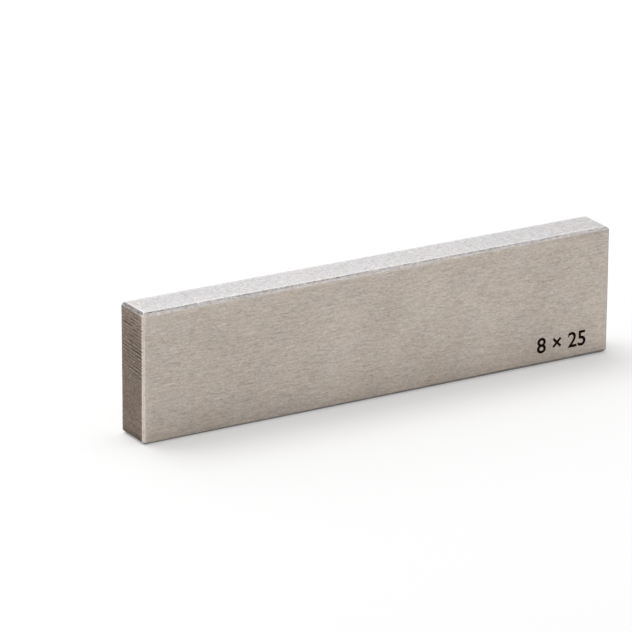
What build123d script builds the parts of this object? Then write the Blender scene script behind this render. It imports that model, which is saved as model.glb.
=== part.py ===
import os
from itertools import product
from math import sqrt

from build123d import *

# Precision parallel: one solid ground steel bar that stands on its long narrow face.
# X runs along the length, Y through the thickness and Z up the height, in millimetres.
# The origin is the middle of the face that the bar stands on.

# Ground sizes
bar_length = 100.0
bar_thickness = 8.0
bar_height = 25.0

# Bevels at 45 degrees, each measured along either of the two faces that meet there
long_edge_bevel = 0.5
end_edge_bevel = 0.6
upright_edge_bevel = 0.45

# Side of the three-cornered flat that an oilstone leaves where three bevels meet
corner_flat = 0.35


def bevelled_prism(plane, width, height, bevel, depth):
    """A bar of the given depth along the plane's normal, with its four parallel edges bevelled."""
    section = chamfer(Rectangle(width, height).vertices(), bevel)
    return extrude(plane * section, depth / 2, both=True)


def bevelled_block():
    """The ground block, centred on the origin. Each direction bevels the four edges that run along it."""
    along_length = bevelled_prism(Plane.YZ, bar_thickness, bar_height, long_edge_bevel, bar_length)
    through_thickness = bevelled_prism(Plane.XZ, bar_length, bar_height, end_edge_bevel, bar_thickness)
    up_height = bevelled_prism(Plane.XY, bar_length, bar_thickness, upright_edge_bevel, bar_height)
    return along_length & through_thickness & up_height


def corner_plane(end, side, level):
    """The plane that flattens one corner. It faces outwards, equally towards the three faces that meet there."""
    reach = (long_edge_bevel + end_edge_bevel + upright_edge_bevel + corner_flat / sqrt(2)) / 2
    sharp_corner = Vector(end * bar_length / 2, side * bar_thickness / 2, level * bar_height / 2)
    return Plane(origin=sharp_corner - Vector(end * reach, 0, 0), z_dir=(end, side, level))


def make_parallel():
    """The finished bar, with its eight corners flattened, set down on its long narrow face."""
    bar = bevelled_block()
    for end, side, level in product((-1, 1), repeat=3):
        bar = split(bar, bisect_by=corner_plane(end, side, level), keep=Keep.BOTTOM)
    return Pos(0, 0, bar_height / 2) * bar


parallel_bar = make_parallel()

os.makedirs("parts", exist_ok=True)
export_step(parallel_bar, "parts/parallel_bar.step")
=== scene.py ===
import math
from itertools import product

import bmesh
import bpy
import numpy as np
from mathutils import Matrix, Vector
from mathutils.geometry import delaunay_2d_cdt


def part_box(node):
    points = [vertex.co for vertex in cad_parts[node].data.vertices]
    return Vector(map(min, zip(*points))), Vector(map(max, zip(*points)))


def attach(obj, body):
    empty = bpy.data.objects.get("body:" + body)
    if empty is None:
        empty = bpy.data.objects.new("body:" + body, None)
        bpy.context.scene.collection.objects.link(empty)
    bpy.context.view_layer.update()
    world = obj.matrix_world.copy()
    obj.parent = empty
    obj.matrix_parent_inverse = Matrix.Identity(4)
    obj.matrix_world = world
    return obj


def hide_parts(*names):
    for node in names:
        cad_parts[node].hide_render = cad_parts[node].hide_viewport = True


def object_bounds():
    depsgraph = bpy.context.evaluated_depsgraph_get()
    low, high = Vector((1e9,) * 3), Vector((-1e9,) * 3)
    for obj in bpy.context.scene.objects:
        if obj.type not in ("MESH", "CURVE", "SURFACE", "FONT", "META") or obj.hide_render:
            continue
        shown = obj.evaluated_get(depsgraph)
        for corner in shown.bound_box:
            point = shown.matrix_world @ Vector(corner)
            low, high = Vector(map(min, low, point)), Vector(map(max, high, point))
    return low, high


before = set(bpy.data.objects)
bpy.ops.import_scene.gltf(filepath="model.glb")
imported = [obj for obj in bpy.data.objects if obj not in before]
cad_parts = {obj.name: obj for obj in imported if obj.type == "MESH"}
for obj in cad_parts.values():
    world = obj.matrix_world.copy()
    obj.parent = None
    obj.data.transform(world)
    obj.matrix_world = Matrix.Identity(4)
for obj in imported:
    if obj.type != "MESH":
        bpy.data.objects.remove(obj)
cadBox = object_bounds()
mm = 0.001  # the bar's own sizes below are written in millimetres and turned into metres with this

# Camera. The near upper corner of the bar, taken as sharp, is held to its place in the photograph's frame.
camera = {
    "turn": 30.86,  # degrees that it looks to the right of straight ahead along +Y
    "tilt": 19.399,  # degrees that it looks down
    "roll": 0.40,
    "distance": 0.92492,  # metres to that corner, along the line of sight
    "focal": 8.23040,  # focal length as a share of the picture's width
    "cornerPixel": (142.51, 314.26),
    "pictureWidth": 632,
    "sensor": 36.0,
    "nearest": 0.01,  # metres
    "farthest": 100.0,
}


def placeCamera(s):
    turn, tilt, roll = (math.radians(s[k]) for k in ("turn", "tilt", "roll"))
    ahead = Vector((math.sin(turn) * math.cos(tilt), math.cos(turn) * math.cos(tilt), -math.sin(tilt)))
    level = Vector((math.cos(turn), -math.sin(turn), 0))
    upright = level.cross(ahead)
    right = level * math.cos(roll) + upright * math.sin(roll)
    up = upright * math.cos(roll) - level * math.sin(roll)
    # how far the corner lies to the right of and above the picture's middle, for each metre of distance
    asideShare, aboveShare = ((p / s["pictureWidth"] - 0.5) / s["focal"] for p in s["cornerPixel"])
    low, high = cadBox
    corner = Vector((low.x, low.y, high.z))
    place = corner - s["distance"] * (ahead + right * asideShare - up * aboveShare)
    data = bpy.data.cameras.new("productCamera")
    data.sensor_width = s["sensor"]
    data.lens = s["focal"] * s["sensor"]
    data.clip_start, data.clip_end = s["nearest"], s["farthest"]
    seer = bpy.data.objects.new("productCamera", data)
    bpy.context.scene.collection.objects.link(seer)
    seer.matrix_world = Matrix.Translation(place) @ Matrix((right, up, -ahead)).transposed().to_4x4()
    bpy.context.scene.camera = seer


placeCamera(camera)
print("camera placed")


# Shader helpers
def newGroup(name, inputs, outputs):
    group = bpy.data.node_groups.new(name, "ShaderNodeTree")
    for label, kind, value in inputs:
        socket = group.interface.new_socket(label, in_out="INPUT", socket_type="NodeSocket" + kind)
        if value is not None:
            socket.default_value = value
    for label, kind in outputs:
        group.interface.new_socket(label, in_out="OUTPUT", socket_type="NodeSocket" + kind)
    given = group.nodes.new("NodeGroupInput")
    return group, [given.outputs[i] for i in range(len(inputs))], group.nodes.new("NodeGroupOutput")


def closeGroup(group, out, values):
    for label, value in values.items():
        group.links.new(value, out.inputs[label])
    return group


def addNode(tree, kind, inputs=None, **settings):
    node = tree.nodes.new("ShaderNode" + kind)
    for key, value in settings.items():
        setattr(node, key, value)
    for key, value in (inputs or {}).items():
        if isinstance(value, bpy.types.NodeSocket):
            tree.links.new(value, node.inputs[key])
        else:
            node.inputs[key].default_value = value
    return node


def calc(tree, operation, first, second=0.0, third=0.0, clamp=False):
    inputs = {0: first, 1: second, 2: third}
    return addNode(tree, "Math", inputs, operation=operation, use_clamp=clamp).outputs[0]


def vectorCalc(tree, operation, first, second):
    return addNode(tree, "VectorMath", {0: first, 1: second}, operation=operation).outputs[0]


def scaleVector(tree, vector, factor):
    return addNode(tree, "VectorMath", {0: vector, "Scale": factor}, operation="SCALE").outputs[0]


def shiftBySeed(tree, vector, seed):
    shift = addNode(tree, "CombineXYZ", {0: seed, 1: seed, 2: seed}).outputs[0]
    return vectorCalc(tree, "ADD", vector, shift)


def noise(tree, where, detail=2.0, roughness=0.5, scale=1.0):
    inputs = {"Vector": where, "Scale": scale, "Detail": detail, "Roughness": roughness}
    return addNode(tree, "TexNoise", inputs).outputs["Fac"]


def swing(tree, value):
    return calc(tree, "SUBTRACT", value, 0.5)  # a noise runs from 0 to 1, about its middle


def nearness(tree, distance, reach):
    # 1 at no distance, thinning out to 0 at the reach
    return calc(tree, "SUBTRACT", 1.0, calc(tree, "DIVIDE", distance, reach), clamp=True)


# Grinding lines: short streaks of three sizes, all drawn out along the way the wheel ran, slightly wavy
lineLook = {
    "bends": 420.0,  # how often the streaks bend in a metre
    "bendDetail": 1.0,
    "broadStretch": (0.28, 0.55, 0.55),  # how fast the broad streaks change, next to the fine ones
    "fineRoughness": 0.65, "broadRoughness": 0.55, "longRoughness": 0.6,
    "fineHeight": 0.6, "broadHeight": 0.4,
}


def makeGrindingLines(s):
    group, given, out = newGroup(
        "grindingLines",
        [
            ("Place", "Vector", None),
            ("Streak Size", "Vector", (0.9 * mm, 0.2 * mm, 0.2 * mm)),
            ("Wander", "Float", 0.10 * mm),
            ("Seed", "Float", 0.0),
            ("Long Streak Size", "Vector", (8.0 * mm, 0.2 * mm, 0.2 * mm)),
        ],
        [("Fine", "Float"), ("Broad", "Float"), ("Long", "Float"), ("Height", "Float")],
    )
    place, size, wander, seed, longSize = given
    bendInputs = {"Vector": place, "Scale": s["bends"], "Detail": s["bendDetail"]}
    bend = addNode(group, "TexNoise", bendInputs, normalize=False).outputs["Color"]
    bent = vectorCalc(group, "ADD", place, scaleVector(group, bend, wander))
    drawn = shiftBySeed(group, vectorCalc(group, "DIVIDE", bent, size), seed)
    fine = noise(group, drawn, roughness=s["fineRoughness"])
    broadDrawn = vectorCalc(group, "MULTIPLY", drawn, s["broadStretch"])
    broad = noise(group, broadDrawn, roughness=s["broadRoughness"])
    longDrawn = shiftBySeed(group, vectorCalc(group, "DIVIDE", bent, longSize), seed)
    long = noise(group, longDrawn, roughness=s["longRoughness"])
    broadHeight = calc(group, "MULTIPLY", broad, s["broadHeight"])
    height = calc(group, "MULTIPLY_ADD", fine, s["fineHeight"], broadHeight)
    return closeGroup(group, out, {"Fine": fine, "Broad": broad, "Long": long, "Height": height})


# Clouding: the faint, wide patches of lighter and darker steel that a hand leaves on a ground face
cloudLook = {"detail": 3.0, "tintPatch": 4.5 * mm, "tintDetail": 1.0}


def makeClouding(s):
    group, (place, patch, seed), out = newGroup(
        "clouding",
        [("Place", "Vector", None), ("Patch", "Float", 9.0 * mm), ("Seed", "Float", 0.0)],
        [("Cloud", "Float"), ("Tint", "Float")],
    )
    wide = scaleVector(group, place, calc(group, "DIVIDE", 1.0, patch))
    cloud = noise(group, shiftBySeed(group, wide, seed), s["detail"])
    tinted = scaleVector(group, place, 1 / s["tintPatch"])
    tint = noise(group, shiftBySeed(group, tinted, seed), s["tintDetail"])
    return closeGroup(group, out, {"Cloud": cloud, "Tint": tint})


# Steel tone: turns lines, clouds and hollows into a colour and a roughness round the finish's own
toneLook = {
    "fineShare": 0.65, "broadShare": 0.35,
    "deepest": 0.2,  # the least of the colour that a hollow leaves
    "blackest": (0.005, 0.005, 0.005),
    "lineRoughness": -0.4,  # a bright line is smoother
    "hollowRoughness": 0.15,
    "grey": (1 / 3, 1 / 3, 1 / 3),
}


def makeSteelTone(s):
    group, given, out = newGroup(
        "steelTone",
        [
            ("Colour", "Color", (0.5, 0.45, 0.41, 1.0)),
            ("Roughness", "Float", 0.4),
            ("Fine", "Float", 0.5),
            ("Broad", "Float", 0.5),
            ("Cloud", "Float", 0.5),
            ("Hollow", "Float", 0.0),
            ("Wear", "Float", 0.0),
            ("Line Contrast", "Float", 0.2),
            ("Cloud Contrast", "Float", 0.1),
            ("Hollow Shade", "Float", 0.5),
            ("Wear Shine", "Float", 0.1),
            ("Tint", "Float", 0.5),
            ("Tint Contrast", "Float", 0.05),
            ("Long", "Float", 0.5),
            ("Long Contrast", "Float", 0.0),
            ("Breakup", "Float", 0.0),
            ("Grey Share", "Float", 0.4),
        ],
        [("Colour", "Color"), ("Roughness", "Float")],
    )
    colour, rough, fine, broad, cloud, hollow, wear = given[:7]
    lineContrast, cloudContrast, hollowShade, wearAndGlintShine = given[7:11]
    tint, tintContrast, long, longContrast, breakup, greyShare = given[11:]
    broadLines = calc(group, "MULTIPLY", broad, s["broadShare"])
    lines = swing(group, calc(group, "MULTIPLY_ADD", fine, s["fineShare"], broadLines))
    # the wear lift also carries the painted glints along edges and at corners
    worn = calc(group, "MULTIPLY", wear, wearAndGlintShine)
    clouded = calc(group, "MULTIPLY_ADD", swing(group, cloud), cloudContrast, worn)
    lift = calc(group, "MULTIPLY_ADD", lines, lineContrast, clouded)
    lift = calc(group, "MULTIPLY_ADD", swing(group, long), longContrast, lift)
    broken = calc(group, "MULTIPLY_ADD", swing(group, fine), breakup, 1.0)
    sunk = calc(group, "MULTIPLY", calc(group, "MULTIPLY", hollow, hollowShade), broken)
    shade = calc(group, "MAXIMUM", calc(group, "SUBTRACT", 1.0, sunk), s["deepest"])
    warmth = calc(group, "MULTIPLY", swing(group, tint), tintContrast)
    warmer, cooler = calc(group, "ADD", 1.0, warmth), calc(group, "SUBTRACT", 1.0, warmth)
    hue = addNode(group, "CombineXYZ", {0: warmer, 1: 1.0, 2: cooler}).outputs[0]
    # part of every lift is plain grey, as most of what steel mirrors is
    greyLift = calc(group, "MULTIPLY", lift, greyShare)
    ownLevel = calc(group, "ADD", calc(group, "SUBTRACT", lift, greyLift), 1.0)
    ownTone = scaleVector(group, vectorCalc(group, "MULTIPLY", colour, hue), ownLevel)
    meanTone = addNode(group, "VectorMath", {0: colour, 1: s["grey"]}, operation="DOT_PRODUCT")
    greyTone = calc(group, "MULTIPLY", meanTone.outputs["Value"], greyLift)
    flatTone = vectorCalc(group, "ADD", ownTone, greyTone)
    toned = vectorCalc(group, "MAXIMUM", scaleVector(group, flatTone, shade), s["blackest"])
    rougher = calc(group, "MULTIPLY_ADD", lines, s["lineRoughness"], rough)
    roughened = calc(group, "MULTIPLY_ADD", hollow, s["hollowRoughness"], rougher, clamp=True)
    return closeGroup(group, out, {"Colour": toned, "Roughness": roughened})


# Rim line: the thin broken line of rough steel that the stone leaves on a bevel, just below a narrow face.
# Border is the distance from that face's edge in millimetres, less than nothing on the bevel.
rimLook = {
    "detail": 3.0, "roughness": 0.65,
    "contrast": 4.5,  # how suddenly a dash begins
    "glint": -0.35,  # below nothing: a painted glint between the dashes
    "patch": 17 * mm, "patchContrast": 2.4, "patchShift": -0.45,  # the line comes and goes along the bar
    "windowWidth": 1.4, "windowEdge": 2.0,
}


def makeRimLine(s):
    group, given, out = newGroup(
        "rimLine",
        [
            ("Place", "Vector", None),
            ("Border", "Float", 0.0),
            ("Tip", "Float", 1.0),
            ("Tip Reach", "Float", 0.25),
            ("Line Middle", "Float", -0.20),
            ("Line Reach", "Float", 0.11),
            ("Dash", "Float", 0.5 * mm),
            ("Gaps", "Float", 0.40),
            ("Start", "Float", -50.0 * mm),
            ("Start Reach", "Float", 5.0 * mm),
            ("Start Boost", "Float", 0.8),
            ("Start Fill", "Float", 0.0),
            ("Seed", "Float", 0.0),
        ],
        [("Line", "Float")],
    )
    place, border, tip, tipReach, middle, reach, dash, gaps = given[:8]
    start, startReach, startBoost, startFill, seed = given[8:]
    dashed = scaleVector(group, place, calc(group, "DIVIDE", 1.0, dash))
    broken = noise(group, shiftBySeed(group, dashed, seed), s["detail"], s["roughness"])
    along = calc(group, "SUBTRACT", addNode(group, "SeparateXYZ", {0: place}).outputs["X"], start)
    started = nearness(group, along, startReach)
    filled = calc(group, "MULTIPLY_ADD", calc(group, "MULTIPLY", started, started), startFill, broken)
    dashes = calc(group, "MULTIPLY", calc(group, "SUBTRACT", filled, gaps), s["contrast"])
    dashes = calc(group, "MAXIMUM", calc(group, "MINIMUM", dashes, 1.0), s["glint"])
    patches = noise(group, scaleVector(group, place, 1 / s["patch"]))
    boost = calc(group, "MULTIPLY_ADD", started, startBoost, s["patchShift"])
    strength = calc(group, "MULTIPLY_ADD", patches, s["patchContrast"], boost, clamp=True)
    away = calc(group, "DIVIDE", calc(group, "ABSOLUTE", calc(group, "SUBTRACT", border, middle)), reach)
    room = calc(group, "SUBTRACT", s["windowWidth"], away)
    window = calc(group, "MULTIPLY", room, s["windowEdge"], clamp=True)
    rubbedOff = calc(group, "DIVIDE", tip, tipReach, clamp=True)
    line = calc(group, "MULTIPLY", calc(group, "MULTIPLY", dashes, strength), window)
    return closeGroup(group, out, {"Line": calc(group, "MULTIPLY", line, rubbedOff)})


# Edge wear and painted glint: steel that handling has rubbed brighter, with painted highlights where edges
# and corners catch the light; strongest on the edge itself and faint a millimetre in. Edge and Tip are the
# distances in millimetres from the nearest edge and from the nearest corner.
wearAndGlintLook = {
    "patch": 0.9 * mm, "detail": 3.0, "roughness": 0.6, "patchContrast": 2.0, "patchShift": -0.2,
    "nearShare": 0.65, "farShare": 0.45, "bluntShare": 1.5,
}


def makeEdgeWearAndGlint(s):
    group, (place, edge, tip, nearReach, farReach, cornerWearAndGlint, seed), out = newGroup(
        "edgeWearAndGlint",
        [
            ("Place", "Vector", None),
            ("Edge", "Float", 1.0),
            ("Tip", "Float", 1.0),
            ("Near Reach", "Float", 0.28),
            ("Far Reach", "Float", 1.35),
            ("Corner Wear", "Float", 0.0),
            ("Seed", "Float", 0.0),
        ],
        [("Wear", "Float")],
    )
    near, far = nearness(group, edge, nearReach), nearness(group, edge, farReach)
    blunt, corner = nearness(group, tip, nearReach), nearness(group, tip, farReach)
    spread = scaleVector(group, place, 1 / s["patch"])
    uneven = noise(group, shiftBySeed(group, spread, seed), s["detail"], s["roughness"])
    patchy = calc(group, "MULTIPLY_ADD", uneven, s["patchContrast"], s["patchShift"])
    strong = calc(group, "MULTIPLY", calc(group, "MULTIPLY", near, s["nearShare"]), patchy)
    both = calc(group, "MULTIPLY_ADD", blunt, s["bluntShare"], strong)
    both = calc(group, "MULTIPLY_ADD", calc(group, "MULTIPLY", corner, patchy), cornerWearAndGlint, both)
    return closeGroup(group, out, {"Wear": calc(group, "MULTIPLY_ADD", far, s["farShare"], both)})


# Height band: a mask that is strongest at one height and thins out on the way to its reach above and below
def makeHeightBand():
    group, (place, height, reach, amount), out = newGroup(
        "heightBand",
        [
            ("Place", "Vector", None),
            ("Height", "Float", 0.0),
            ("Reach", "Float", 2.6 * mm),
            ("Amount", "Float", 0.2),
        ],
        [("Band", "Float")],
    )
    own = addNode(group, "SeparateXYZ", {0: place}).outputs["Z"]
    near = nearness(group, calc(group, "ABSOLUTE", calc(group, "SUBTRACT", own, height)), reach)
    band = calc(group, "MULTIPLY", calc(group, "MULTIPLY", near, near), amount)
    return closeGroup(group, out, {"Band": band})


groups = {
    "lines": makeGrindingLines(lineLook),
    "clouding": makeClouding(cloudLook),
    "tone": makeSteelTone(toneLook),
    "rim": makeRimLine(rimLook),
    "wear": makeEdgeWearAndGlint(wearAndGlintLook),
    "band": makeHeightBand(),
}
print("effects made:", ", ".join(groups))


def placeGroup(tree, key, **inputs):
    node = tree.nodes.new("ShaderNodeGroup")
    node.node_tree = groups[key]
    for label, value in inputs.items():
        socket = node.inputs[label.replace("_", " ")]
        if isinstance(value, bpy.types.NodeSocket):
            tree.links.new(value, socket)
        else:
            socket.default_value = value
    return node.outputs


# Height bands, in millimetres: painted shade that darkens the steel towards where the bar stands, the paler
# steel that handling leaves below the top of an end, and the part of it that is also a little cooler
footShadeBand = {"height": 0.0, "reach": 2.6}
topRub = {"height": 25.0, "reach": 9.0}
topCool = {"height": 25.0, "reach": 3.2}

# Finishes of the steel. Sizes are in millimetres, those of streaks along X, Y and Z. What a finish leaves
# out is as in plainFinish.
plainFinish = {
    "tint": 0.07,  # how much the hue wanders between warm and cool
    "greyShare": 0.4,  # how much of the lighter and darker marks is plain grey
    "breakup": 0.0,  # how much the streaks break up the shade of the grooves
    # brightening along edges and at corners: wear, and painted glints
    "wearAndGlintShine": 0.16, "wearReach": 0.28, "cornerWearAndGlint": 0.0,
    "footShade": 0.0, "topRub": 0.0, "topCool": 0.0,  # how strong each height band is
    "rimLine": 0.0, "lineMiddle": -0.20, "lineReach": 0.11, "startFill": 0.0,
}
finishes = {
    "sideSteel": {
        "colour": (0.470, 0.414, 0.364), "roughness": 0.36,
        "streak": (0.48, 0.17, 0.17), "lineContrast": 1.42, "bump": 0.004,
        "longStreak": (8.0, 0.16, 0.16), "longContrast": 0.40,
        "patch": 9.0, "cloudContrast": 0.27, "hollowShade": 1.0, "seed": 3.0,
        "footShade": 0.17, "wearAndGlintShine": 0.20,
    },
    "narrowSteel": {
        "colour": (0.440, 0.427, 0.426), "roughness": 0.30,
        "streak": (0.32, 0.135, 0.135), "lineContrast": 3.0, "bump": 0.008,
        "longStreak": (14.0, 0.14, 0.14), "longContrast": 0.45,
        "patch": 7.0, "cloudContrast": 0.08, "hollowShade": 0.4, "seed": 11.0,
        "rimLine": 0.3, "wearAndGlintShine": 0.56, "wearReach": 0.34,
    },
    # the left end, ground as the right one is: its darker, warmer colour is painted shade and a painted
    # warm reflection
    "shadedEndSteel": {
        "colour": (0.184, 0.140, 0.107), "roughness": 0.46,
        "streak": (0.3, 0.36, 0.17), "lineContrast": 2.60, "bump": 0.008,
        "longStreak": (0.3, 4.0, 0.16), "longContrast": 0.5,
        "patch": 3.0, "cloudContrast": 0.50, "hollowShade": 1.50, "breakup": 3.0, "seed": 23.0,
        "footShade": 0.50, "topRub": 0.19, "topCool": 0.9, "cornerWearAndGlint": 1.8, "greyShare": 0.6,
    },
    "rightEndSteel": {
        "colour": (0.372, 0.332, 0.303), "roughness": 0.42,
        "streak": (0.3, 0.40, 0.17), "lineContrast": 1.90, "bump": 0.008,
        "longStreak": (0.3, 4.0, 0.16), "longContrast": 0.4, "tint": 0.05,
        "patch": 5.0, "cloudContrast": 0.30, "hollowShade": 0.90, "breakup": 2.4, "seed": 29.0,
        "footShade": 0.30, "topRub": 0.06, "topCool": 0.5, "cornerWearAndGlint": 0.8,
    },
    "longBevelSteel": {
        "colour": (0.490, 0.464, 0.450), "roughness": 0.33,
        "streak": (0.7, 0.16, 0.16), "lineContrast": 1.70, "bump": 0.012,
        "longStreak": (8.0, 0.16, 0.16), "longContrast": 0.3,
        "patch": 0.8, "cloudContrast": 0.80, "hollowShade": 0.58, "seed": 31.0,
        "rimLine": 1.0, "startFill": 0.10,
    },
    "uprightBevelSteel": {
        "colour": (0.543, 0.474, 0.424), "roughness": 0.33,
        "streak": (0.16, 0.16, 0.7), "lineContrast": 0.90, "bump": 0.010,
        "longStreak": (0.16, 0.16, 6.0), "longContrast": 0.3,
        "patch": 3.0, "cloudContrast": 0.20, "hollowShade": 0.5, "seed": 43.0,
        "footShade": 0.17, "cornerWearAndGlint": 0.5,
    },
    "mattShadedUprightSteel": {  # the upright bevel at the front right, left rougher as the wheel cut it; its darker colour is painted shade of the floor's shadow that it mirrors
        "colour": (0.252, 0.238, 0.228), "roughness": 0.44,
        "streak": (0.16, 0.16, 0.7), "lineContrast": 0.90, "bump": 0.010,
        "longStreak": (0.16, 0.16, 6.0), "longContrast": 0.3, "tint": 0.05,
        "patch": 3.0, "cloudContrast": 0.20, "hollowShade": 0.5, "seed": 47.0,
        "footShade": 0.17, "wearAndGlintShine": 0.0,
    },
    "crossBevelSteel": {
        "colour": (0.268, 0.245, 0.240), "roughness": 0.38,
        "streak": (0.16, 0.45, 0.16), "lineContrast": 3.40, "bump": 0.014,
        "longStreak": (0.14, 3.0, 0.14), "longContrast": 1.2,
        "patch": 0.7, "cloudContrast": 1.40, "hollowShade": 0.70, "seed": 58.0,
        "rimLine": 0.7, "lineMiddle": -0.46, "lineReach": 0.13, "wearAndGlintShine": 0.30, "cornerWearAndGlint": 0.8,
    },
    "footBevelSteel": {  # the bevels and corner flats at the bar's foot: rougher, and dark in colour as painted shade of the shadow under the bar that they mirror
        "colour": (0.264, 0.241, 0.220), "roughness": 0.44,
        "streak": (0.6, 0.16, 0.16), "lineContrast": 2.20, "bump": 0.014,
        "longStreak": (8.0, 0.16, 0.16), "longContrast": 0.3,
        "patch": 3.0, "cloudContrast": 0.50, "hollowShade": 0.50, "seed": 71.0,
        "wearAndGlintShine": 0.0,
    },
}


def newMaterial(name):
    material = bpy.data.materials.new(name)
    material.use_nodes = True
    material.node_tree.nodes.clear()
    return material, material.node_tree


def readAttribute(tree, name):
    return addNode(tree, "Attribute", attribute_name=name).outputs["Fac"]


def addBand(tree, place, where, amount, value):
    height, reach = where["height"] * mm, where["reach"] * mm
    band = placeGroup(tree, "band", Place=place, Height=height, Reach=reach, Amount=amount)
    return calc(tree, "ADD", value, band["Band"])


def makeSteel(name, own):
    s = {**plainFinish, **own}
    material, tree = newMaterial(name)
    place = addNode(tree, "TexCoord").outputs["Object"]
    hollow, edge, tip = (readAttribute(tree, label) for label in ("hollow", "edge", "tip"))
    if s["rimLine"]:
        border = readAttribute(tree, "border")
        line = placeGroup(
            tree, "rim", Place=place, Border=border, Tip=tip, Line_Middle=s["lineMiddle"],
            Line_Reach=s["lineReach"], Start_Fill=s["startFill"], Seed=s["seed"],
        )
        hollow = calc(tree, "MULTIPLY_ADD", line["Line"], s["rimLine"], hollow)
    # the foot band adds painted shade, darker towards the foot
    for where, amount in ((footShadeBand, s["footShade"]), (topRub, -s["topRub"])):
        if amount:
            hollow = addBand(tree, place, where, amount, hollow)
    streak, longStreak = ([x * mm for x in s[key]] for key in ("streak", "longStreak"))
    lines = placeGroup(
        tree, "lines", Place=place, Streak_Size=streak, Long_Streak_Size=longStreak, Seed=s["seed"],
    )
    cloud = placeGroup(tree, "clouding", Place=place, Patch=s["patch"] * mm, Seed=s["seed"])
    tint = addBand(tree, place, topCool, -s["topCool"], cloud["Tint"]) if s["topCool"] else cloud["Tint"]
    wear = placeGroup(
        tree, "wear", Place=place, Edge=edge, Tip=tip, Near_Reach=s["wearReach"],
        Corner_Wear=s["cornerWearAndGlint"], Seed=s["seed"],
    )
    tone = placeGroup(
        tree, "tone", Colour=(*s["colour"], 1.0), Roughness=s["roughness"],
        Fine=lines["Fine"], Broad=lines["Broad"], Line_Contrast=s["lineContrast"],
        Long=lines["Long"], Long_Contrast=s["longContrast"],
        Cloud=cloud["Cloud"], Cloud_Contrast=s["cloudContrast"], Tint=tint, Tint_Contrast=s["tint"],
        Hollow=hollow, Hollow_Shade=s["hollowShade"], Breakup=s["breakup"],
        Wear=wear["Wear"], Wear_Shine=s["wearAndGlintShine"], Grey_Share=s["greyShare"],
    )
    bump = addNode(tree, "Bump", {"Strength": 1.0, "Distance": s["bump"] * mm, "Height": lines["Height"]})
    steel = addNode(tree, "BsdfPrincipled", {
        "Base Color": tone["Colour"], "Roughness": tone["Roughness"], "Normal": bump.outputs[0],
        "Metallic": 1.0,
    })
    addNode(tree, "OutputMaterial", {"Surface": steel.outputs[0]})
    return material


# The etched figures: a dark, matt oxide with a little of the steel's grain left in it
etch = {
    "colour": (0.009, 0.004, 0.002),
    "darkest": 0.55, "shadeSpread": 0.9,  # shares of the colour
    "roughness": 0.56, "roughnessSpread": 0.2, "gloss": 0.03,
    "speckle": 0.10 * mm, "speckleRoughness": 0.6, "bump": 0.004 * mm,
}


def makeEtch(s):
    material, tree = newMaterial("etchedOxide")
    place = addNode(tree, "TexCoord").outputs["Object"]
    grain = noise(tree, place, roughness=s["speckleRoughness"], scale=1.0 / s["speckle"])
    shade = calc(tree, "MULTIPLY_ADD", grain, s["shadeSpread"], s["darkest"])
    colour = scaleVector(tree, s["colour"], shade)
    rough = calc(tree, "MULTIPLY_ADD", grain, s["roughnessSpread"], s["roughness"])
    bump = addNode(tree, "Bump", {"Strength": 1.0, "Distance": s["bump"], "Height": grain})
    oxide = addNode(tree, "BsdfPrincipled", {
        "Base Color": colour, "Roughness": rough, "Normal": bump.outputs[0], "Metallic": 0.0,
        "Specular IOR Level": s["gloss"],
    })
    addNode(tree, "OutputMaterial", {"Surface": oxide.outputs[0]})
    return material


materials = {name: makeSteel(name, own) for name, own in finishes.items()}
materials["etchedOxide"] = makeEtch(etch)
slots = list(materials)
print("finishes made:", ", ".join(slots))


# The bar's skin: the CAD block with hand-dressed bevels, softened edges and real grooves in both ends
bar = {
    "node": "parallel_bar",
    "longBevel": 0.50,
    "crossBevel": 0.60,
    "uprightBevel": 0.45,
    "cornerFlat": 0.35,
    # the two upper corners at the left are stoned less: how far their flats reach from the sharp corner
    "slightCorners": {(-1, -1, 1): 0.817, (-1, 1, 1): 0.74},
    "glintCorner": (-1, -1, 1),  # the near upper one, in the narrow face's brighter finish: a painted glint
    "rim": 1.4,  # depth of the band round each face in which the mesh is fine
    "sharpness": 70.0,  # higher leaves crisper lines between the ground faces and the bevels
    "waver": 0.035,  # how far a hand-dressed bevel strays
    "waverWaves": ((31.0, 13.0, 6.1), (0.5, 0.3, 0.2)),  # their lengths and their shares
    "chatter": 0.012,
    "chatterWaves": ((2.3, 1.1, 0.63), (0.4, 0.35, 0.25)),
    "waveSpread": (0.85, 1.15),  # how much a wave's length differs from the one given
    # Hand-dressed edges that differ: the axis that they run along and their two sides, then their width and
    # its change for each millimetre along
    "dressed": {
        (2, -1, 1): (0.23, -0.009),  # the upright one at the back left
        (0, -1, -1): (0.56, 0.0034),  # the foot, at the front
        (0, -1, 1): (0.57, -0.0018),  # the top, at the front
        (0, 1, 1): (0.33, 0.0018),  # the top, at the back
    },
    "mattShadedEdges": {(2, 1, -1)},  # the upright one at the front right
    "noWearOrGlint": {"mattShadedUprightSteel", "footBevelSteel"},  # no wear or painted glint brightens the steel where these border a face
    # steps of the mesh across a bevel, as shares of its width, from the sharp edge to just past its border
    "rimSteps": (0.0, 0.3, 0.6, 0.8, 0.9, 0.96, 1.0, 1.04, 1.1, 1.2, 1.4, 1.75),
    "lengthStep": 0.30,
    "thicknessStep": 0.25,
    "heightStep": 0.075,
    "creaseFrom": 38.0,  # degrees between two faces of the mesh
    "seed": 17,
}

low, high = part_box(bar["node"])
half = np.array((high - low) / 2) / mm
middle = np.array((high + low) / 2) / mm
rng = np.random.default_rng(bar["seed"])


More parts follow.
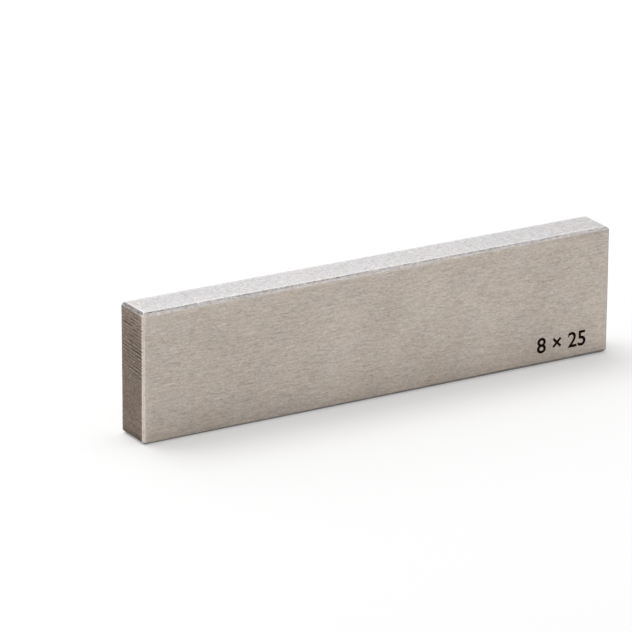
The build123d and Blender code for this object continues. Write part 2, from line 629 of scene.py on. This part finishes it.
def makeWave(lengths, shares):
    # a smooth wandering value along a line: a few sine waves of unlike length with seeded phases
    turns = 2 * np.pi / np.array(lengths) * rng.uniform(*bar["waveSpread"], len(lengths))
    starts = rng.uniform(0, 2 * np.pi, len(lengths))
    return lambda at: (np.sin(np.multiply.outer(at, turns) + starts) * np.array(shares)).sum(-1)


def edgeWave(taper):
    slow = makeWave(*bar["waverWaves"])
    quick = makeWave(*bar["chatterWaves"])
    return lambda at: bar["waver"] * slow(at) + bar["chatter"] * quick(at) + taper * at


# The bevels: the two axes that each leans between, the axis that it runs along, and the name of its width
bevelKinds = {(1, 2): (0, "longBevel"), (0, 2): (1, "crossBevel"), (0, 1): (2, "uprightBevel")}
bevels = []
for (axes, (run, key)), firstSide, secondSide in product(bevelKinds.items(), (-1, 1), (-1, 1)):
    lean = np.zeros(3)
    lean[list(axes)] = firstSide, secondSide
    here = (run, firstSide, secondSide)
    kind = "footBevelSteel" if lean[2] < 0 else key + "Steel"
    if here in bar["mattShadedEdges"]:
        kind = "mattShadedUprightSteel"
    width, taper = bar["dressed"].get(here, (bar[key], 0.0))
    bevels.append({
        "axes": axes, "run": run, "lean": lean, "kind": kind, "width": width, "wave": edgeWave(taper),
    })


def widthAlong(bevel, places):
    return bevel["width"] + bevel["wave"](places[:, bevel["run"]])


# Grinding grooves of an end face: a run of evenly spaced lines, deepest in the upper half, that sink
# towards the front
grooves = {
    "pitch": 0.64, "pitchSpread": 0.15, "width": (0.08, 0.16), "depth": 0.052, "depthSpread": (0.42, 0.84),
    "lean": 0.075, "leanSpread": 0.010, "leanLoss": 0.006,  # the last for each millimetre above deepFrom
    "waver": 0.022, "waverWaves": ((4.1, 1.9), (0.7, 0.3)),
    "strengthWaves": ((5.1, 2.3, 0.9), (0.45, 0.35, 0.20)),
    "deepFrom": 12.4, "deepTo": 20.0, "fromSoftness": 0.3, "toSoftness": 0.5, "above": 0.76, "below": 0.20,
    "usual": 0.70,  # a line's depth where it is neither strong nor weak
    "gaps": (0.45, 1.5),  # how broken the lines are: the deep ones, then the others
    "most": 1.35,  # the deepest a line gets, as a share of its own depth
    "backFade": 0.03,  # what a line loses for each millimetre towards the back
    "lipGlint": 0.30, "lipGlintShare": 0.5,  # a painted highlight on the lip under each groove
    "shadedFor": 0.2,  # how far in from an end the shade of its grooves reaches
}


def makeGrooves(s):
    found = []
    height = s["pitch"] / 2
    while height < 2 * half[2]:
        height += s["pitch"] + rng.uniform(-1, 1) * s["pitchSpread"]
        fromBelow = 1 + math.exp(-(height - s["deepFrom"]) / s["fromSoftness"])
        fromAbove = 1 + math.exp((height - s["deepTo"]) / s["toSoftness"])
        inZone = 1 / fromBelow / fromAbove
        outside = s["above"] if height > s["deepTo"] else s["below"]
        leanLost = s["leanLoss"] * max(0, height - s["deepFrom"])
        found.append({
            "height": height - half[2],
            "lean": s["lean"] + rng.normal(0, s["leanSpread"]) - leanLost,
            "width": rng.uniform(*s["width"]),
            "depth": s["depth"] * rng.uniform(*s["depthSpread"]) * (outside + (1 - outside) * inZone),
            "gaps": s["gaps"][0] + (s["gaps"][1] - s["gaps"][0]) * (1 - inZone),
            "wander": makeWave(*s["waverWaves"]),
            "strength": makeWave(*s["strengthWaves"]),
        })
    return found


def grooveDepth(found, across, up):
    total = np.zeros_like(across)
    for g in found:
        line = g["height"] + g["lean"] * across + grooves["waver"] * g["wander"](across)
        fade = grooves["backFade"] * (across + half[1])
        share = grooves["usual"] + g["gaps"] * g["strength"](across) - fade
        deep = g["depth"] * np.clip(share, 0, grooves["most"])
        total += deep * np.exp(-(((up - line) / g["width"]) ** 2))
    return np.maximum(total, 0)


endGrooves = {-1: makeGrooves(grooves), 1: makeGrooves(grooves)}


# A lattice over the sharp block: fine lines within the rim, even steps between
def evenLines(halfSize, step):
    inner = halfSize - bar["rim"]
    return np.linspace(-inner, inner, max(2, round(2 * inner / step)) + 1)


rimCount = len(bar["rimSteps"])
between = [evenLines(half[a], bar[k]) for a, k in enumerate(("lengthStep", "thicknessStep", "heightStep"))]
lineCount = np.array([2 * rimCount + len(b) for b in between])


def otherAxes(axis):
    return [a for a in range(3) if a != axis]


def latticeCode(triples):
    # one number for each lattice point, from its three indices
    return np.asarray(triples) @ np.array([lineCount[1] * lineCount[2], lineCount[2], 1])


def surfaceLattice():
    # index triples of all lattice points on the block's surface, in the order of their codes
    found = []
    for axis in range(3):
        others = otherAxes(axis)
        lines = [np.arange(lineCount[a]) for a in others]
        grid = np.array(np.meshgrid(*lines, indexing="ij")).reshape(2, -1).T
        for side in (0, lineCount[axis] - 1):
            triple = np.empty((len(grid), 3), int)
            triple[:, axis] = side
            triple[:, others] = grid
            found.append(triple)
    return np.unique(np.concatenate(found), axis=0)


points = surfaceLattice()
codes = latticeCode(points)


def blockPlaces(points):
    # where each lattice point lies on the sharp block; rim lines keep their share of the bevel beside them
    last = lineCount - 1
    onFace = (points == 0) | (points == last)
    rough = np.empty(points.shape)
    for axis in range(3):
        even = between[axis]
        line = np.concatenate([
            np.linspace(-half[axis], even[0], rimCount + 1)[:-1],
            even,
            np.linspace(even[-1], half[axis], rimCount + 1)[1:],
        ])
        rough[:, axis] = line[points[:, axis]]
    places = rough.copy()
    steps = np.array(bar["rimSteps"])
    for axis in range(3):
        index = points[:, axis]
        nearLow, nearHigh = index < rimCount, index > last[axis] - rimCount
        inRim = nearLow | nearHigh
        side = np.where(nearLow, -1, 1)
        share = steps[np.clip(np.where(nearLow, index, last[axis] - index), 0, rimCount - 1)]
        width = np.zeros(len(points))
        weight = np.zeros(len(points))
        for bevel in bevels:
            if axis not in bevel["axes"]:
                continue
            other = next(a for a in bevel["axes"] if a != axis)
            here = inRim & (side == bevel["lean"][axis])
            here &= onFace[:, other] & (np.sign(rough[:, other]) == bevel["lean"][other])
            width[here] += widthAlong(bevel, rough[here])
            weight[here] += 1
        width = np.where(weight > 0, width / np.maximum(weight, 1), bar["longBevel"])
        places[inRim, axis] = (side * (half[axis] - share * width))[inRim]
    places[onFace] = rough[onFace]
    return places


tiny, huge = 1e-9, 1e3  # millimetres


def skinPlaces(places):
    # each point is drawn in from the sharp block towards its core, to the nearest of the bar's planes
    core = np.clip(places, -(half - bar["rim"]), half - bar["rim"])
    ray = places - core
    reaches = []
    kinds = []
    planes = []

    def addPlane(normal, offset, kind):
        facing = ray @ normal
        room = offset - core @ normal
        reaches.append(np.where(facing > tiny, room / np.maximum(facing, tiny), huge))
        kinds.append(kind)
        planes.append((normal, offset))

    for axis, side in product(range(3), (-1, 1)):
        normal = np.zeros(3)
        normal[axis] = side
        offset = np.full(len(places), half[axis])
        if axis == 0:
            offset -= grooveDepth(endGrooves[side], places[:, 1], places[:, 2])
        endKind = "shadedEndSteel" if side < 0 else "rightEndSteel"
        addPlane(normal, offset, (endKind, "sideSteel", "narrowSteel")[axis])
    for bevel in bevels:
        full = half[list(bevel["axes"])].sum()
        offset = (full - widthAlong(bevel, places)) / math.sqrt(2)
        addPlane(bevel["lean"] / math.sqrt(2), offset, bevel["kind"])
    bevelWidths = bar["longBevel"] + bar["crossBevel"] + bar["uprightBevel"]
    usualReach = (bevelWidths + bar["cornerFlat"] / math.sqrt(2)) / 2
    for side, end, level in product((-1, 1), repeat=3):
        corner = (end, side, level)
        reach = bar["slightCorners"].get(corner, usualReach)
        kind = "footBevelSteel" if level < 0 else "crossBevelSteel"
        if corner == bar["glintCorner"]:
            kind = "narrowSteel"
        offset = np.full(len(places), (half.sum() - reach) / math.sqrt(3))
        addPlane(np.array(corner) / math.sqrt(3), offset, kind)
    # the nearest plane, softened where two of them come close together
    reaches = np.array(reaches)
    nearest = reaches.min(0)
    soft = nearest - np.log(np.exp(-bar["sharpness"] * (reaches - nearest)).sum(0)) / bar["sharpness"]
    kind = np.array([slots.index(k) for k in kinds])[reaches.argmin(0)]
    skin = core + ray * soft[:, None]
    # how far each point lies from the nearest edge and from the nearest corner that handling rubs and
    # painted glints brighten
    rooms = np.array([offset - skin @ normal for normal, offset in planes])
    own = rooms.min(0)
    rooms[rooms.argmin(0), np.arange(len(skin))] = np.inf
    worn = np.sort(rooms[[k not in bar["noWearOrGlint"] for k in kinds]], axis=0)
    toEdge, toTip = (np.clip((worn[i] - own) * math.sqrt(2), 0, bar["rim"]) for i in (0, 1))
    return skin, kind, toEdge, toTip


skin, skinKind, edgeDistance, tipDistance = skinPlaces(blockPlaces(points))
print("skin points:", len(skin))


# Faces. A face's middle, where it is flat, is bridged by long strips instead of a grid.
faces, faceKinds = [], []


def addFace(loop, kind):
    faces.append([int(v) for v in loop])
    faceKinds.append(slots.index(kind) if isinstance(kind, str) else int(kind))


def addSideFace(axis, side, loop, kind):
    # a loop that runs from the first other axis to the second is turned over where it would face inwards
    addFace(loop[::-1] if (side > 0) == (axis == 1) else loop, kind)


def facePoint(axis, side, u, v):
    triple = np.empty(3, int)
    triple[axis] = 0 if side < 0 else lineCount[axis] - 1
    triple[otherAxes(axis)] = u, v
    return int(np.searchsorted(codes, latticeCode(triple)))


def gridFaces(axis, side):
    countU, countV = lineCount[otherAxes(axis)]
    flatMiddle = axis != 0
    for u, v in product(range(countU - 1), range(countV - 1)):
        inside = rimCount <= u < countU - 1 - rimCount and rimCount <= v < countV - 1 - rimCount
        if flatMiddle and inside:
            continue
        loop = [facePoint(axis, side, *p) for p in ((u, v), (u + 1, v), (u + 1, v + 1), (u, v + 1))]
        addSideFace(axis, side, loop, np.bincount(skinKind[loop]).argmax())


for axis, side in product(range(3), (-1, 1)):
    gridFaces(axis, side)


def stripFaces(axis, side, kind, columns):
    # columns is the range of lattice columns along the length that the strips bridge
    countU, countV = lineCount[otherAxes(axis)]
    lowV, highV = rimCount, countV - 1 - rimCount
    first, last = rimCount, countU - 1 - rimCount
    for u in columns:
        loop = [facePoint(axis, side, u, lowV), facePoint(axis, side, u + 1, lowV)]
        if u + 1 == last:
            loop += [facePoint(axis, side, last, v) for v in range(lowV + 1, highV)]
        loop += [facePoint(axis, side, u + 1, highV), facePoint(axis, side, u, highV)]
        if u == first:
            loop += [facePoint(axis, side, first, v) for v in range(highV - 1, lowV, -1)]
        addSideFace(axis, side, loop, kind)


# The size mark: the bar's own thickness and height in plain figures, etched near the front face's right end
mark = {
    "words": "8 × 25",
    "figureHeight": 3.1,
    "rightEnd": 5.0,  # from the bar's right end to the last figure
    "baseline": 2.4,  # above the bar's foot
    "depth": 0.02,
    "boldness": 0.018,
    "curveSteps": 10,
    "meetWithin": 1e-4,  # points of the outlines closer than this are one, as a share of the letters' size
    "clearance": 1.0,  # flat steel kept to the left of the first figure
}


def drawFigures(s):
    # the figures as flat triangles on the front face, in millimetres, from Blender's own plain letters
    curve = bpy.data.curves.new("sizeMark", "FONT")
    curve.body = s["words"]
    curve.size = 1.0
    curve.offset = s["boldness"]
    curve.resolution_u = s["curveSteps"]
    letters = bpy.data.objects.new("sizeMark", curve)
    bpy.context.scene.collection.objects.link(letters)
    bpy.context.view_layer.update()
    mesh = bpy.data.meshes.new_from_object(letters.evaluated_get(bpy.context.evaluated_depsgraph_get()))
    work = bmesh.new()
    work.from_mesh(mesh)
    bmesh.ops.remove_doubles(work, verts=work.verts, dist=s["meetWithin"])
    bmesh.ops.triangulate(work, faces=work.faces)
    spots = np.array([v.co[:2] for v in work.verts])
    outline = [[v.index for v in e.verts] for e in work.edges if len(e.link_faces) == 1]
    filled = np.array([[v.index for v in f.verts] for f in work.faces])
    work.free()
    bpy.data.objects.remove(letters)
    bpy.data.meshes.remove(mesh)
    wide, tall = spots.max(0) - spots.min(0)
    scale = s["figureHeight"] / tall
    corner = np.array([half[0] - s["rightEnd"] - wide * scale, -half[2] + s["baseline"]])
    return (spots - spots.min(0)) * scale + corner, outline, filled


figureSpots, figureOutline, figureFill = drawFigures(mark)
markFrom = figureSpots[:, 0].min() - mark["clearance"]
firstColumn, lastColumn = rimCount, lineCount[0] - 1 - rimCount


def isLeftOfMark(column):
    return skin[facePoint(1, -1, column, rimCount)][0] < markFrom


markColumn = max(filter(isLeftOfMark, range(firstColumn, lastColumn)))
stripFaces(1, -1, "sideSteel", range(firstColumn, markColumn))
stripFaces(1, 1, "sideSteel", range(firstColumn, lastColumn))
stripFaces(2, -1, "narrowSteel", range(firstColumn, lastColumn))
stripFaces(2, 1, "narrowSteel", range(firstColumn, lastColumn))


def insideFigures(spot):
    corners = figureSpots[figureFill]
    side = np.roll(corners, -1, 1) - corners
    toSpot = np.array(spot) - corners
    turn = side[..., 0] * toSpot[..., 1] - side[..., 1] * toSpot[..., 0]
    return bool(((turn > 0).all(1) | (turn < 0).all(1)).any())


def markedFaces():
    # the part of the front face that holds the figures, flat round them, sunk inside; gives the new points
    highV = lineCount[2] - 1 - rimCount
    ring = [facePoint(1, -1, u, rimCount) for u in range(markColumn, lastColumn)]
    ring += [facePoint(1, -1, lastColumn, v) for v in range(rimCount, highV)]
    ring += [facePoint(1, -1, u, highV) for u in range(lastColumn, markColumn - 1, -1)]
    flat = [skin[i][[0, 2]] for i in ring]
    edges = [(i, (i + 1) % len(ring)) for i in range(len(ring))]
    edges += [(len(flat) + a, len(flat) + b) for a, b in figureOutline]
    flat += list(figureSpots)
    withinRing, samePlace = 1, 1e-7  # only triangles inside the ring, and points this near count as one
    spots, _, triangles, sources, _, _ = delaunay_2d_cdt(
        [Vector(p) for p in flat], edges, [], withinRing, samePlace)
    faceY = -half[1]
    onTop, sunk = {}, {}
    extra = []

    def topPoint(i):
        if i not in onTop:
            given = [k for k in sources[i] if k < len(ring)]
            if given:
                onTop[i] = ring[given[0]]
            else:
                onTop[i] = len(skin) + len(extra)
                extra.append((spots[i][0], faceY, spots[i][1]))
        return onTop[i]

    def sunkPoint(i):
        if i not in sunk:
            sunk[i] = len(skin) + len(extra)
            extra.append((spots[i][0], faceY + mark["depth"], spots[i][1]))
        return sunk[i]

    walls = {}
    for triangle in triangles:
        centre = sum((spots[i] for i in triangle), Vector((0, 0))) / 3
        if insideFigures(centre):
            addFace([sunkPoint(i) for i in triangle], "etchedOxide")
            for a, b in zip(triangle, triangle[1:] + triangle[:1]):
                walls[(a, b)] = not walls.pop((b, a), False)
        else:
            addFace([topPoint(i) for i in triangle], "sideSteel")
    for (a, b), isWall in walls.items():
        if isWall:
            addFace([sunkPoint(b), sunkPoint(a), topPoint(a), topPoint(b)], "etchedOxide")
    return np.array(extra)


skin = np.concatenate([skin, markedFaces()])
print("figures sunk")


# The front face's upper border near the right end, darker: painted shade where a rounded border would
# mirror darker
shadedBorder = {"from": 28.0, "full": 46.0, "belowTop": 0.68, "reach": 0.26, "shade": 0.24, "faceDepth": 0.05}


def paintShadedBorder(places, s):
    along = np.clip((places[:, 0] - s["from"]) / (s["full"] - s["from"]), 0, 1)
    down = (half[2] - places[:, 2] - s["belowTop"]) / s["reach"]
    onFront = places[:, 1] < s["faceDepth"] - half[1]
    return s["shade"] * along * np.exp(-down * down) * onFront


def grooveShade(places, s):
    # how deep in a groove each point lies, as a share of the grooves' depth; below nothing on its lip,
    # where a highlight is painted
    depth = np.zeros(len(places))
    for side in (-1, 1):
        near = places[:, 0] * side > half[0] - s["shadedFor"]
        across, up = places[near, 1], places[near, 2]
        ridge = grooveDepth(endGrooves[side], across, up + s["lipGlint"])
        depth[near] = (grooveDepth(endGrooves[side], across, up) - s["lipGlintShare"] * ridge) / s["depth"]
    return np.clip(depth, -s["lipGlintShare"], 1)


def borderDistance(places):
    # how far each point lies inside the narrow face's outline, or, below nothing, down the bevel beside it
    onTheFace = 0.004  # a point no further down than this still lies on the narrow face
    down = half[2] - abs(places[:, 2])
    room = np.full(len(places), huge)
    for bevel in bevels:
        if 2 not in bevel["axes"]:
            continue
        other = bevel["axes"][0]
        here = np.sign(places[:, 2]) == bevel["lean"][2]
        here &= np.sign(places[:, other]) == bevel["lean"][other]
        inside = half[other] - abs(places[:, other]) - widthAlong(bevel, places)
        room[here] = np.minimum(room, inside)[here]
    return np.where(down > onTheFace, -down * math.sqrt(2), np.maximum(room, 0))


def buildBar():
    # only the lattice points that a face uses go into the mesh
    used = np.unique(np.concatenate(faces))
    newIndex = np.zeros(len(skin), int)
    newIndex[used] = np.arange(len(used))
    unmarked = np.full(len(skin) - len(edgeDistance), bar["rim"])
    edge, tip = (np.append(distance, unmarked)[used] for distance in (edgeDistance, tipDistance))
    places = skin[used]
    mesh = bpy.data.meshes.new("groundBar")
    mesh.from_pydata(((places + middle) * mm).tolist(), [], [newIndex[loop].tolist() for loop in faces])
    mesh.polygons.foreach_set("material_index", faceKinds)
    for name in slots:
        mesh.materials.append(materials[name])
    hollow = grooveShade(places, grooves) + paintShadedBorder(places, shadedBorder)
    masks = {"hollow": hollow, "edge": edge, "tip": tip, "border": borderDistance(places)}
    for label, values in masks.items():
        attribute = mesh.attributes.new(label, "FLOAT", "POINT")
        attribute.data.foreach_set("value", values.astype(np.float32))
    mesh.shade_smooth()
    mesh.set_sharp_from_angle(angle=math.radians(bar["creaseFrom"]))
    mesh.validate()
    mesh.update()
    piece = bpy.data.objects.new("groundBar", mesh)
    bpy.context.scene.collection.objects.link(piece)
    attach(piece, "root")
    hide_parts(bar["node"])
    return piece


groundBar = buildBar()
print("bar built:", sum(len(p.vertices) - 2 for p in groundBar.data.polygons), "triangles")


# Floor and light
studio = {
    "floorSize": 12.0,
    "floorDrop": 0.02 * mm,  # below the bar's foot
    "floorColour": (0.80, 0.80, 0.80),
    "floorGlow": 0.22,  # what camera and reflections see on top of the lit floor, so that it reads as white
    "fill": 0.60,
}
white = (1, 1, 1, 1)


def seenOrMirrored(tree):
    # 1 on the rays that show the studio: the camera's own and those that metal or glass sends on
    path = addNode(tree, "LightPath").outputs
    sentOn = calc(tree, "MAXIMUM", path["Is Glossy Ray"], path["Is Transmission Ray"])
    return calc(tree, "MAXIMUM", path["Is Camera Ray"], sentOn)


def makeFloor(s):
    material, tree = newMaterial("studioFloor")
    plain = addNode(tree, "BsdfDiffuse", {"Color": (*s["floorColour"], 1.0)})
    glowing = calc(tree, "MULTIPLY", seenOrMirrored(tree), s["floorGlow"])
    glow = addNode(tree, "Emission", {"Color": white, "Strength": glowing})
    both = addNode(tree, "AddShader", {0: plain.outputs[0], 1: glow.outputs[0]})
    beneath = addNode(tree, "NewGeometry").outputs["Backfacing"]  # there the floor is clear
    clear = addNode(tree, "BsdfTransparent")
    surface = addNode(tree, "MixShader", {0: beneath, 1: both.outputs[0], 2: clear.outputs[0]})
    addNode(tree, "OutputMaterial", {"Surface": surface.outputs[0]})
    mesh = bpy.data.meshes.new("studioFloor")
    reach = s["floorSize"] / 2
    corners = [(x * reach, y * reach, -s["floorDrop"]) for x, y in ((-1, -1), (1, -1), (1, 1), (-1, 1))]
    mesh.from_pydata(corners, [], [(0, 1, 2, 3)])
    mesh.materials.append(material)
    floor = bpy.data.objects.new("studioFloor", mesh)
    bpy.context.scene.collection.objects.link(floor)


def makeSky(s):
    world = bpy.data.worlds.new("studioAir")
    world.use_nodes = True
    tree = world.node_tree
    tree.nodes.clear()
    strength = calc(tree, "MULTIPLY_ADD", seenOrMirrored(tree), 1.0 - s["fill"], s["fill"])
    air = addNode(tree, "Background", {"Color": white, "Strength": strength})
    addNode(tree, "OutputWorld", {"Surface": air.outputs[0]})
    bpy.context.scene.world = world


# Soft boxes: place, aim and size in metres, brightness where 1 is white. A mirror doesn't show the key box.
panels = {
    "keyBox": {
        "place": (-0.15, 0.34, 0.90), "aim": (0, 0, 0), "size": (0.5, 0.5),
        "brightness": 2.6, "mirrored": False,
    },
    "ceilingBox": {
        "place": (-0.15, 0.34, 0.95), "aim": (0, 0, 0), "size": (1.1, 1.1),
        "brightness": 0.45, "mirrored": True,
    },
    "backBox": {
        "place": (0.19, 1.085, 0.50), "aim": (0, 0, 0.02), "size": (1.1, 0.7),
        "brightness": 0.34, "mirrored": True,
    },
}
wattsForWhite = 4.0  # what each square metre of a soft box takes to look white


def makePanel(name, s):
    data = bpy.data.lights.new(name, "AREA")
    data.shape = "RECTANGLE"
    data.size, data.size_y = s["size"]
    data.energy = wattsForWhite * s["brightness"] * s["size"][0] * s["size"][1]
    panel = bpy.data.objects.new(name, data)
    bpy.context.scene.collection.objects.link(panel)
    panel.location = s["place"]
    aim = Vector(s["aim"]) - Vector(s["place"])
    panel.rotation_euler = aim.to_track_quat("-Z", "Y").to_euler()
    panel.visible_camera = False
    panel.visible_glossy = s["mirrored"]


makeFloor(studio)
makeSky(studio)
for name, settings in panels.items():
    makePanel(name, settings)
print("studio lit with", len(panels), "soft boxes")

bpy.context.scene.view_settings.view_transform = "Standard"
